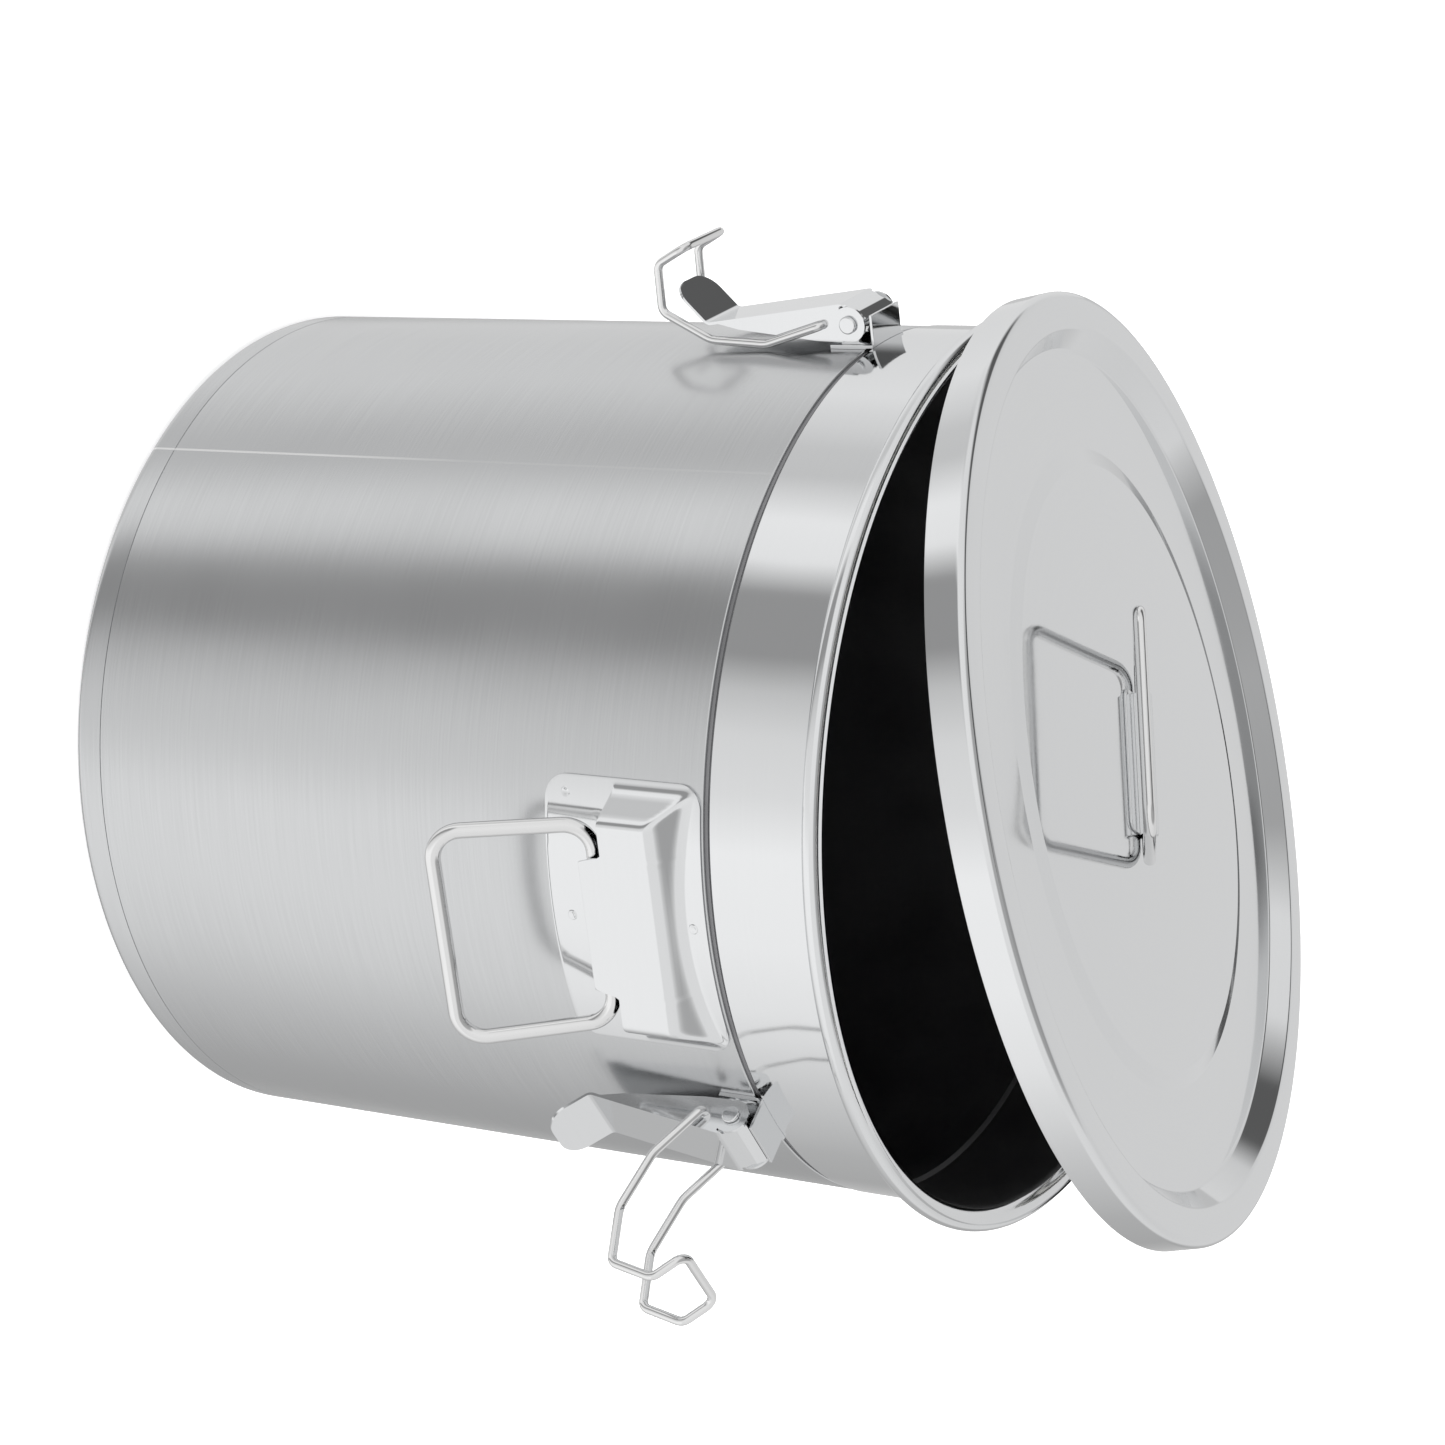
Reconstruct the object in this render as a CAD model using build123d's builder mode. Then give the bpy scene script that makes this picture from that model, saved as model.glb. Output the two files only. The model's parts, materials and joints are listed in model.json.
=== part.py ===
"""Stainless milk can: deep drum body with a rolled rim, a loose pressed lid, two drop handles
and three over-centre latches with wire bails.

Origin: centre of the foot ring, on the floor. +Z up. The drop handles are on +X and -X and one
latch faces -Y. Lengths in millimetres, angles in degrees.
"""
import os
from math import cos, radians, sin

from build123d import *

os.makedirs("parts", exist_ok=True)

# ---- drum -------------------------------------------------------------------
body_radius = 175.0
sheet = 1.0
base_height = 14.0
base_corner = 5.0
foot_inner = 150.0
floor_flat = 114.0
bead_slope = 4.0
floor_bead = 3.0
floor_fillet = 2.5
shell_top = 297.0

# ---- neck and rolled rim ------------------------------------------------------
sleeve_bottom = 289.0
groove_top = 300.0
joggle_height = 1.6
neck_radius = 175.35
rim_wire_radius = 2.4
rim_wire_circle = 180.7
rim_wire_height = 344.7
rim_wire_clearance = 0.02
curl_end_angle = -135.0

# ---- lid, drawn closed, then turned to where it rests -------------------------
skirt_radius = 188.1
skirt_bottom = 336.5
lid_top = 351.6
shoulder_fillet = 3.5
recess_lip_fillet = 2.2
recess_foot_fillet = 2.0
recess_radius = 173.2
recess_foot_radius = 165.9
recess_depth = 8.0
plateau_foot_radius = 127.3
plateau_radius = 120.0
plateau_rise = 1.8
plateau_fillet = 4.0
gasket_inner = 175.5
gasket_outer = 184.5
gasket_bottom = 348.45
lid_low_azimuth = 230.0
lid_rest_tilt = 13.75
lid_play = 2.0
lid_pivot_rise = 1.0

# ---- lid handle -----------------------------------------------------------------
lid_handle_turn = 3.4
lid_wire = 5.0
lid_clip_clearance = 0.4
lid_clip_sheet = 1.2
lid_clip_length = 58.0
lid_clip_width = 26.0
lid_clip_corner = 4.0
lid_hinge_half = 40.0
lid_grip_half = 44.0
lid_loop_depth = 62.0
lid_loop_bend = 8.0
lid_handle_lift = 20.0

# ---- drop handles -----------------------------------------------------------------
plate_sheet = 1.2
plate_half_width = 53.5
plate_bottom = 229.5
plate_top = 296.4
plate_corner = 9.0
hump_foot_depth = 12.0
hump_foot_half = 53.0
hump_foot_top = 297.0
hump_flat_half = 42.0
hump_flat_top = 281.0
hump_height = 8.0
tongue_half = 27.0
tongue_bottom = 249.5
notch_bottom = 259.5
notch_width = 40.0
notch_height = 30.0
drop_wire = 6.0
drop_hinge_radius = 179.2
drop_hinge_height = 254.0
drop_hinge_half = 39.5
drop_grip_half = 42.0
drop_loop_depth = 59.5
drop_loop_bend = 11.0
drop_rest_swing = 28.0
weld_radius = 2.0
weld_height = 0.35
weld_depth = 0.3
weld_azimuths = (-15.5, 0, 15.5)
weld_levels = (238.5, 290.9)
spare = 10.0

# ---- latches ----------------------------------------------------------------------
latch_azimuths = (270.0, 30.0, 150.0)
latch_sheet = 1.2
lever_half_width = 13.0
pivot_radius = 184.2
pivot_height = 290.5
ear_radius = 7.0
rivet_radius = 2.3
rivet_head_radius = 3.5
rivet_head_thick = 1.4
rivet_head_fillet = 0.6
rivet_overhang = 0.2
rivet_clearance = 0.06
side_gap = 0.3
cheek_reach = 4.9
bracket_depth = 6.0
bracket_below_pivot = 9.0
bracket_above_pivot = 8.4
bracket_lip_reach = 3.4
cheek_shoulder = 3.0
cheek_foot = (2.0, 1.0)
cheek_top_inset = (1.0, 0.3)
bail_wire = 3.5
bail_hole_clearance = 0.05
bail_pivot_radius = 184.2
bail_pivot_height = 279.3
bail_half_width = 15.9
bail_stub_end = 9.5
bail_bends = (2.6, 12.0, 12.0, 4.5, 4.5, 4.5)
bail_lengths = (25.5, 25.0, 23.7, 19.1, 14.5)
bail_turns = (0.0, 20.0, 24.8, 63.6, 60.8)
bail_wall_angle = -107.0
bail_swings = (0.0, 79.0, 0.0)


def turned_path(start, heading, lengths, turns):
    """Corner points of a bent wire in the plane of radius and height."""
    points = [start]
    for length, turn in zip(lengths, turns):
        heading = heading + turn
        x, z = points[-1]
        points.append((x + length * cos(radians(heading)), z + length * sin(radians(heading))))
    return points


# ==== drum ==========================================================================
# Pressed base: side wall, rounded corner, flat foot, and a raised stiffening ring in the floor.
with BuildPart() as base_pan:
    with BuildSketch(Plane.XZ):
        with BuildLine():
            FilletPolyline(
                (body_radius, base_height),
                (body_radius, 0),
                (foot_inner, 0),
                (foot_inner - bead_slope, floor_bead),
                (floor_flat + bead_slope, floor_bead),
                (floor_flat, 0),
                (0, 0),
                radius=(base_corner, floor_fillet, floor_fillet, floor_fillet, floor_fillet),
            )
            offset(amount=sheet, side=Side.RIGHT)
        make_face()
    revolve(axis=Axis.Z)
base_pan.part.label = "base_pan"
export_step(base_pan.part, "parts/base_pan.step")

# Rolled and seam-welded body wall.
with BuildPart() as body_shell:
    with BuildSketch(Plane.XY.offset(base_height)):
        Circle(body_radius)
        Circle(body_radius - sheet, mode=Mode.SUBTRACT)
    extrude(amount=shell_top - base_height)
body_shell.part.label = "body_shell"
export_step(body_shell.part, "parts/body_shell.step")

# Neck: a sleeve inside the body wall, a joggle that leaves the groove, then the rolled rim.
curl_radius = rim_wire_circle - neck_radius
curl_height = rim_wire_height + rim_wire_radius - curl_radius
with BuildPart() as neck_ring:
    with BuildSketch(Plane.XZ):
        with BuildLine():
            Polyline(
                (body_radius - sheet, sleeve_bottom),
                (body_radius - sheet, groove_top - joggle_height),
                (neck_radius, groove_top),
                (neck_radius, curl_height),
            )
            CenterArc((rim_wire_circle, curl_height), curl_radius, 180, -90)
            CenterArc((rim_wire_circle, rim_wire_height), rim_wire_radius, 90, curl_end_angle - 90)
            offset(amount=sheet, side=Side.LEFT)
        make_face()
    revolve(axis=Axis.Z)
neck_ring.part.label = "neck_ring"
export_step(neck_ring.part, "parts/neck_ring.step")

# Wire that the rim is rolled round.
with BuildPart() as rim_wire:
    with BuildSketch(Plane.XZ):
        with Locations((rim_wire_circle, rim_wire_height)):
            Circle(rim_wire_radius - rim_wire_clearance)
    revolve(axis=Axis.Z)
rim_wire.part.label = "rim_wire"
export_step(rim_wire.part, "parts/rim_wire.step")


# ==== lid ============================================================================
# The lid rocks on the low side of its skirt. Everything on it is drawn closed and centred,
# then slid by the play of the skirt round the rim and turned about that line.
low = Vector(cos(radians(lid_low_azimuth)), sin(radians(lid_low_azimuth)), 0)
hinge_direction = Vector(-low.Y, low.X, 0)
hinge_point = low * (skirt_radius - lid_play) + Vector(0, 0, skirt_bottom + lid_pivot_rise)
lid_hinge = Axis(hinge_point, hinge_direction)


def place_on_lid(piece):
    """Moves a piece drawn on the closed, centred lid to where the lid rests."""
    return piece.translate(low * -lid_play).rotate(lid_hinge, lid_rest_tilt)


with BuildPart() as lid_panel:
    with BuildSketch(Plane.XZ):
        with BuildLine():
            FilletPolyline(
                (skirt_radius, skirt_bottom),
                (skirt_radius, lid_top),
                (recess_radius, lid_top),
                (recess_foot_radius, lid_top - recess_depth),
                (plateau_foot_radius, lid_top - recess_depth),
                (plateau_radius, lid_top - recess_depth + plateau_rise),
                (0, lid_top - recess_depth + plateau_rise),
                radius=(
                    shoulder_fillet,
                    recess_lip_fillet,
                    recess_foot_fillet,
                    plateau_fillet,
                    plateau_fillet,
                ),
            )
            offset(amount=sheet, side=Side.LEFT)
        make_face()
    revolve(axis=Axis.Z)
lid_panel.part = place_on_lid(lid_panel.part)
lid_panel.part.label = "lid_panel"
export_step(lid_panel.part, "parts/lid_panel.step")

# Flat silicone ring under the lid's edge, which sits on the rolled rim.
with BuildPart() as lid_gasket:
    with BuildSketch(Plane.XY.offset(gasket_bottom)):
        Circle(gasket_outer)
        Circle(gasket_inner, mode=Mode.SUBTRACT)
    extrude(amount=lid_top - sheet - gasket_bottom)
lid_gasket.part = place_on_lid(lid_gasket.part)
lid_gasket.part.label = "lid_gasket"
export_step(lid_gasket.part, "parts/lid_gasket.step")

# Strap clip over the lid handle's hinge bar, along the lid's own X before it is turned.
lid_floor = lid_top - recess_depth + plateau_rise
lid_bar_height = lid_floor + lid_wire / 2 + lid_clip_clearance
clip_bore = lid_wire / 2 + lid_clip_clearance
lid_turn = lid_low_azimuth - 180 + lid_handle_turn
with BuildPart() as lid_clip:
    with BuildSketch(Plane.YZ.offset(-lid_clip_length / 2)):
        with BuildLine():
            Polyline(
                (-lid_clip_width / 2, lid_floor),
                (-clip_bore, lid_floor),
                (-clip_bore, lid_bar_height),
            )
            CenterArc((0, lid_bar_height), clip_bore, 180, -180)
            Polyline(
                (clip_bore, lid_bar_height),
                (clip_bore, lid_floor),
                (lid_clip_width / 2, lid_floor),
            )
            offset(amount=lid_clip_sheet, side=Side.LEFT)
        make_face()
    extrude(amount=lid_clip_length)
    flange_corners = lid_clip.edges().filter_by(Axis.Z).group_by(Axis.X)
    end_corners = flange_corners[0] + flange_corners[-1]
    fillet([e for e in end_corners if abs(e.center().Y) > lid_clip_width / 3], radius=lid_clip_corner)
lid_clip.part = place_on_lid(lid_clip.part.rotate(Axis.Z, lid_turn))
lid_clip.part.label = "lid_clip"
export_step(lid_clip.part, "parts/lid_clip.step")

# Welded wire loop, raised a little off the lid.
lid_handle_plane = Plane(
    origin=(0, 0, lid_bar_height),
    x_dir=(1, 0, 0),
    z_dir=(0, sin(radians(lid_handle_lift)), cos(radians(lid_handle_lift))),
)
with BuildPart() as lid_handle:
    with BuildLine(lid_handle_plane) as lid_loop:
        FilletPolyline(
            (lid_hinge_half, 0),
            (lid_grip_half, -lid_loop_depth),
            (-lid_grip_half, -lid_loop_depth),
            (-lid_hinge_half, 0),
            radius=lid_loop_bend,
            close=True,
        )
    with BuildSketch(Plane(origin=lid_loop.line @ 0, z_dir=lid_loop.line % 0)):
        Circle(lid_wire / 2)
    sweep()
lid_handle.part = place_on_lid(lid_handle.part.rotate(Axis.Z, lid_turn))
lid_handle.part.label = "lid_handle"
export_step(lid_handle.part, "parts/lid_handle.step")


# ==== drop handles ====================================================================
# Plate pressed to the drum, with a hump that traps the handle's hinge bar. Drawn at +X.
plate_outer = body_radius + plate_sheet
plate_middle = (plate_bottom + plate_top) / 2
hump_outer = plate_outer + hump_height


def hump_solid(shrink, reach, bottom):
    """The hump's form from behind the plate to its flat face, inset by the sheet."""
    with BuildPart() as hump:
        for x, half, top in (
            (body_radius - hump_foot_depth, hump_foot_half, hump_foot_top),
            (reach, hump_flat_half, hump_flat_top),
        ):
            with BuildSketch(Plane.YZ.offset(x)):
                with Locations((0, (top - shrink + bottom) / 2)):
                    Rectangle(2 * (half - shrink), top - shrink - bottom)
        loft()
    return hump.part


with BuildPart() as plate_blank:
    with BuildSketch(Plane.YZ.offset(body_radius - 2 * spare)):
        with Locations((0, plate_middle)):
            RectangleRounded(2 * plate_half_width, plate_top - plate_bottom, plate_corner)
    extrude(amount=hump_height + 3 * spare)
with BuildPart() as plate_ring:
    with BuildSketch(Plane.XY.offset(plate_bottom - spare)):
        Circle(plate_outer)
        Circle(body_radius, mode=Mode.SUBTRACT)
    extrude(amount=plate_top - plate_bottom + 2 * spare)
with BuildPart() as drum_core:
    with BuildSketch(Plane.XY.offset(plate_bottom - spare)):
        Circle(body_radius)
    extrude(amount=plate_top - plate_bottom + 2 * spare)
with BuildPart() as notches:
    for side in (-1, 1):
        with BuildSketch(Plane.YZ.offset(body_radius - 3 * spare)):
            with Locations((side * (tongue_half + notch_width / 2), notch_bottom - notch_height / 2)):
                Rectangle(notch_width, notch_height)
        extrude(amount=hump_height + 4 * spare)
with BuildPart() as spot_welds:
    for level in weld_levels:
        for azimuth in weld_azimuths:
            across = Vector(cos(radians(azimuth)), sin(radians(azimuth)), 0)
            weld_foot = across * (plate_outer - weld_depth) + Vector(0, 0, level)
            with BuildSketch(Plane(origin=weld_foot, z_dir=across)):
                Circle(weld_radius)
            extrude(amount=weld_depth + weld_height)
hump_skin = hump_solid(0, hump_outer, tongue_bottom) - notches.part
hump_hollow = hump_solid(plate_sheet, hump_outer - plate_sheet, tongue_bottom - 1) - notches.part
pressed_plate = (plate_blank.part & plate_ring.part) + spot_welds.part + hump_skin
pressed_plate = pressed_plate - hump_hollow - drum_core.part

# Rounded wire loop, hinged in the hump and swung a little away from the drum.
drop_axis = Axis((drop_hinge_radius, 0, drop_hinge_height), (0, -1, 0))
with BuildPart() as drop_loop:
    with BuildLine(Plane.YZ.offset(drop_hinge_radius)) as drop_line:
        FilletPolyline(
            (drop_hinge_half, drop_hinge_height),
            (drop_grip_half, drop_hinge_height - drop_loop_depth),
            (-drop_grip_half, drop_hinge_height - drop_loop_depth),
            (-drop_hinge_half, drop_hinge_height),
            radius=drop_loop_bend,
            close=True,
        )
    with BuildSketch(Plane(origin=drop_line.line @ 0, z_dir=drop_line.line % 0)):
        Circle(drop_wire / 2)
    sweep()
hanging_handle = drop_loop.part.rotate(drop_axis, drop_rest_swing)

for name, azimuth in (("a", 0), ("b", 180)):
    handle_plate = pressed_plate.rotate(Axis.Z, azimuth)
    handle_plate.label = f"handle_plate_{name}"
    export_step(handle_plate, f"parts/handle_plate_{name}.step")
    drop_handle = hanging_handle.rotate(Axis.Z, azimuth)
    drop_handle.label = f"drop_handle_{name}"
    export_step(drop_handle, f"parts/drop_handle_{name}.step")


# ==== latches ===========================================================================
# Each latch is drawn at azimuth 0, in the plane of radius (X) and height (Z), then turned.
cheek_outer = lever_half_width - latch_sheet - side_gap
bracket_back = body_radius - bracket_depth
bracket_bottom = pivot_height - bracket_below_pivot
bracket_face = pivot_height + bracket_above_pivot
bracket_top = bracket_face + latch_sheet
bracket_lip = pivot_radius + bracket_lip_reach

# Bracket: base on the drum, two cheeks that carry the rivet, and an end wall by the rim.
with BuildPart() as bracket:
    with BuildSketch(Plane.YZ.offset(bracket_back)):
        with Locations((0, (bracket_bottom + bracket_top) / 2)):
            Rectangle(2 * lever_half_width, bracket_top - bracket_bottom)
    extrude(amount=bracket_depth + latch_sheet)
    with BuildSketch(Plane.YZ.offset(bracket_back)):
        with Locations((0, (bracket_face + bracket_top) / 2)):
            Rectangle(2 * cheek_outer, latch_sheet)
    extrude(amount=bracket_lip - bracket_back)
    for inner in (cheek_outer - latch_sheet, -cheek_outer):
        with BuildSketch(Plane.XZ.offset(-inner - latch_sheet)):
            with BuildLine():
                Polyline(
                    (bracket_back, bracket_bottom),
                    (pivot_radius - cheek_reach, pivot_height - cheek_shoulder),
                    (pivot_radius, pivot_height),
                    (pivot_radius - cheek_top_inset[0], pivot_height + cheek_reach - cheek_top_inset[1]),
                    (body_radius + cheek_foot[0], pivot_height + cheek_shoulder),
                    (body_radius + cheek_foot[1], bracket_face),
                    (bracket_back, bracket_face),
                    close=True,
                )
            make_face()
            with Locations((pivot_radius, pivot_height)):
                Circle(cheek_reach)
                Circle(rivet_radius, mode=Mode.SUBTRACT)
        extrude(amount=latch_sheet)
    with BuildSketch(Plane.XY.offset(bracket_bottom - 1)):
        Circle(body_radius)
    extrude(amount=bracket_top - bracket_bottom + 2, mode=Mode.SUBTRACT)
    with BuildSketch(Plane.XY.offset(shell_top)):
        Circle(neck_radius)
    extrude(amount=bracket_top - shell_top + 1, mode=Mode.SUBTRACT)

# Rivet through the cheeks and the lever's ears.
rivet_half = lever_half_width + rivet_overhang
with BuildPart() as rivet:
    with BuildSketch(Plane.XZ.offset(-rivet_half)):
        with Locations((pivot_radius, pivot_height)):
            Circle(rivet_radius)
    extrude(amount=2 * rivet_half)
    for face_y in (-rivet_half - rivet_head_thick, rivet_half):
        with BuildSketch(Plane.XZ.offset(-face_y - rivet_head_thick)):
            with Locations((pivot_radius, pivot_height)):
                Circle(rivet_head_radius)
        extrude(amount=rivet_head_thick)
    head_rims = rivet.faces().filter_by(Axis.Y).sort_by(Axis.Y)
    fillet(head_rims[0].edges() + head_rims[-1].edges(), radius=rivet_head_fillet)

# Lever: bent strip with a finger tab, and two tapered sides whose ears turn on the rivet.
tab_tip = (198.6, 213.4)
tab_root = (184.2, 227.2)
web_corner = (192.4, 287.6)
web_nose = (189.2, 294.6)
web_tail = (186.6, 297.6)
side_root = (184.0, 230.7)
side_corner = (181.6, 241.0)
side_foot = (177.6, 276.0)
ear_back = (177.2, 287.5)
side_top = (191.5, 288.0)
side_inset = (191.5, 283.6)
web_bends = (3.0, 3.0, 2.0)
ear_slot = 0.8
ear_slot_depth = 1.5
ear_slot_start = 3.5
tab_corner = 9.0
with BuildPart() as lever:
    with BuildSketch(Plane.XZ.offset(-lever_half_width)):
        with BuildLine():
            FilletPolyline(tab_tip, tab_root, web_corner, web_nose, web_tail, radius=web_bends)
            offset(amount=latch_sheet, side=Side.LEFT)
        make_face()
    extrude(amount=2 * lever_half_width)
    tab_ends = lever.edges().filter_by(lambda e: e.length < latch_sheet + 0.1).group_by(Axis.Z)[0]
    fillet(tab_ends, radius=tab_corner)
    for inner in (lever_half_width - latch_sheet, -lever_half_width):
        with BuildSketch(Plane.XZ.offset(-inner - latch_sheet)):
            with BuildLine():
                Polyline(
                    side_root,
                    side_corner,
                    side_foot,
                    ear_back,
                    (pivot_radius, pivot_height),
                    side_top,
                    side_inset,
                    close=True,
                )
            make_face()
            with Locations((pivot_radius, pivot_height)):
                Circle(ear_radius)
                Circle(rivet_radius + rivet_clearance, mode=Mode.SUBTRACT)
            with Locations((bail_pivot_radius, bail_pivot_height)):
                Circle(bail_wire / 2 + bail_hole_clearance, mode=Mode.SUBTRACT)
        extrude(amount=latch_sheet)
    # Slot that frees each ear's round top from the web.
    for inner in (lever_half_width - ear_slot_depth, -lever_half_width):
        with BuildSketch(Plane.XZ.offset(-inner - ear_slot_depth)):
            with Locations((pivot_radius, pivot_height)):
                Circle(ear_radius + ear_slot)
                Circle(ear_radius, mode=Mode.SUBTRACT)
            with Locations((pivot_radius + ear_radius, pivot_height + ear_radius - ear_slot_start)):
                Rectangle(2 * ear_radius, 2 * ear_radius, mode=Mode.INTERSECT)
        extrude(amount=ear_slot_depth, mode=Mode.SUBTRACT)

# Bail: one bent wire, its ends turned in through the lever's sides, its bar forming the hook.
bail_side = turned_path(
    (bail_pivot_radius, bail_pivot_height), bail_wall_angle, bail_lengths, bail_turns
)
bail_route = [Vector(bail_pivot_radius, bail_stub_end, bail_pivot_height)]
bail_route += [Vector(x, bail_half_width, z) for x, z in bail_side]
bail_route += [Vector(v.X, -v.Y, v.Z) for v in reversed(bail_route)]
with BuildPart() as bail:
    with BuildLine() as bail_line:
        FilletPolyline(*bail_route, radius=bail_bends + bail_bends[::-1])
    with BuildSketch(Plane(origin=bail_line.line @ 0, z_dir=bail_line.line % 0)):
        Circle(bail_wire / 2)
    sweep()
bail_axis = Axis((bail_pivot_radius, 0, bail_pivot_height), (0, -1, 0))

for number, azimuth in enumerate(latch_azimuths, start=1):
    swung_bail = bail.part.rotate(bail_axis, bail_swings[number - 1])
    for name, piece in (
        ("latch_bracket", bracket.part),
        ("latch_rivet", rivet.part),
        ("latch_lever", lever.part),
        ("latch_bail", swung_bail),
    ):
        placed = piece.rotate(Axis.Z, azimuth)
        placed.label = f"{name}_{number}"
        export_step(placed, f"parts/{name}_{number}.step")
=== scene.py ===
"""Stainless milk can with a loose lid: its pieces, finishes and studio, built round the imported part."""

import json
import math

import bmesh
import bpy
from bpy.props import FloatProperty, FloatVectorProperty, IntProperty, StringProperty
from mathutils import Matrix, Vector


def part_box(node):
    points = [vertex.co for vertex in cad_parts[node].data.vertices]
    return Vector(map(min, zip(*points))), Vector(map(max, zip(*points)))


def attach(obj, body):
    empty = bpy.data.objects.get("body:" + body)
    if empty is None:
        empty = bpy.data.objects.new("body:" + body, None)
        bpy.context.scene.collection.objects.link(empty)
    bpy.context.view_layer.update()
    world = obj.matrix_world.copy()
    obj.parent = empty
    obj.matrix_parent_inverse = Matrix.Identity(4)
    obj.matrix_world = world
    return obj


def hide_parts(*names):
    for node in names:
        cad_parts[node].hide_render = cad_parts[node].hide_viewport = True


bl_info = {
    "name": "Milk can",
    "version": (1, 0, 0),
    "blender": (4, 5, 0),
    "location": "View3D > Sidebar > Milk can",
    "description": "Builds a stainless milk can, its finishes and its studio",
    "category": "Add Mesh",
}

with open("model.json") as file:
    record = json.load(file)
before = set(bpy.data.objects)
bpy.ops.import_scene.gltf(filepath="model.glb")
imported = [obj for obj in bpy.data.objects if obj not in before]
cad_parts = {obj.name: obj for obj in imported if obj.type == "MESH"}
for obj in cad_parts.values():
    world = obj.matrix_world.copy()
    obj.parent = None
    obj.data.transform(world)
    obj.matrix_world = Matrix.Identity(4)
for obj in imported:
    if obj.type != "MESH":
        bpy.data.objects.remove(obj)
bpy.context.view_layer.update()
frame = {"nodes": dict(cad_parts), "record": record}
JOINTS = {j["name"]: j for j in frame["record"]["behaviour"]["joints"]}
# A bent wire has a ring of this many points, and a new ring each time it has turned this far.
WIRE_SIDES = 28
WIRE_STEP = math.radians(8)
# Fall of the hump's ends and top, as depth over distance, and the width of its soft bends.
END_SLOPE = 1.93
TOP_SLOPE = 1.33
PRESS_ROUND = 0.004
# The marks round the can keep their true length at this radius.
MARKS_RADIUS = 0.18


# ---- sizes and colours ----------------------------------------------------------------


def size(name, description, default):
    """A length in metres that the panel shows."""
    return FloatProperty(name=name, description=description, default=default, subtype="DISTANCE")


class MilkCanDrumSizes(bpy.types.PropertyGroup):
    segments: IntProperty(name="Segments", description="Facets round the drum", default=288)
    sheet: size("Sheet", "Thickness of the steel sheet", 0.001)
    base_corner: size("Base corner", "Radius where wall meets base", 0.005)
    foot_inner: size("Foot", "Inner radius of the foot", 0.150)
    floor_flat: size("Floor", "Radius of the flat middle of the base", 0.114)
    base_rise: size("Base rise", "Height of the raised ring in the base", 0.003)
    base_slope: size("Base slope", "Width of the ring's slopes", 0.004)
    base_fillet: size("Base fillet", "Radius of the ring's bends", 0.0025)
    joint_round: size("Joint", "Rounding of the wall's edge at the base", 0.0005)
    groove_top: size("Groove top", "Height where the neck starts", 0.300)
    groove_slope: size("Groove slope", "Height of the step up to the neck", 0.0016)
    neck_radius: size("Neck", "Outer radius of the neck", 0.17535)
    rim_wire: size("Rim wire", "Radius of the wire in the rim", 0.0024)


class MilkCanLidSizes(bpy.types.PropertyGroup):
    shoulder: size("Shoulder", "Radius of the lid's outer bend", 0.0035)
    recess_radius: size("Recess", "Radius of the recess at the top", 0.1732)
    recess_foot: size("Recess foot", "Radius of the recess at its foot", 0.1659)
    recess_depth: size("Recess depth", "Depth of the recess", 0.008)
    plateau_foot: size("Plateau foot", "Radius where the middle starts to rise", 0.1273)
    plateau: size("Plateau", "Radius of the raised middle", 0.120)
    plateau_rise: size("Plateau rise", "Height of the raised middle", 0.0018)
    skirt: size("Skirt", "Outer radius of the skirt", 0.1881)
    skirt_bottom: size("Skirt bottom", "Height of the skirt's edge when shut", 0.3365)
    top: size("Top", "Height of the lid's edge when shut", 0.3516)
    seal_inner: size("Seal inside", "Inner radius of the seal", 0.1755)
    seal_outer: size("Seal outside", "Outer radius of the seal", 0.1845)
    seal_bottom: size("Seal bottom", "Height of the seal's face when shut", 0.34856)


class MilkCanHandleSizes(bpy.types.PropertyGroup):
    lid_wire: size("Lid wire", "Thickness of the lid handle's wire", 0.005)
    lid_hinge_half: size("Lid hinge bar", "Half the bar in the clip", 0.040)
    lid_grip_half: size("Lid grip", "Half the grip of the lid handle", 0.044)
    lid_depth: size("Lid loop depth", "From hinge bar to grip", 0.062)
    lid_bend: size("Lid loop bend", "Bend radius of the lid handle", 0.008)
    drop_wire: size("Drop wire", "Thickness of the drop handles' wire", 0.006)
    drop_hinge_half: size("Drop hinge bar", "Half the bar in the plate", 0.0395)
    drop_grip_half: size("Drop grip", "Half the grip of a drop handle", 0.042)
    drop_depth: size("Drop loop depth", "From hinge bar to grip", 0.0595)
    drop_bend: size("Drop loop bend", "Bend radius of a drop handle", 0.011)
    plate_sheet: size("Plate sheet", "Thickness of the plate", 0.0012)
    plate_corner: size("Plate corner", "Corner radius of the plate", 0.009)
    hump_flat_half: size("Hump width", "Half the hump's flat face", 0.042)
    hump_flat_top: size("Hump top", "Height of the top of the flat face", 0.281)
    tongue_half: size("Tongue width", "Half the tongue over the hinge bar", 0.027)
    tongue_bottom: size("Tongue bottom", "Height of the tongue's edge", 0.2495)
    notch_bottom: size("Notch", "Height of the hump's edge beside the tongue", 0.2595)
    notch_run: size("Notch run", "Width of the step from tongue to notch", 0.003)
    plate_edge: size("Plate edge", "Rounding of the plate's edges", 0.00025)
    weld_low: size("Lower welds", "Their height above the plate's edge", 0.009)
    weld_high: size("Upper welds", "Their depth below the plate's edge", 0.0055)
    weld_spread: FloatProperty(name="Weld spread", description="Degrees to the outer welds", default=15.5)
    weld_radius: size("Weld", "Radius of a spot weld", 0.002)
    weld_rise: size("Weld rise", "Height of a spot weld's ring", 0.00026)


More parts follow.
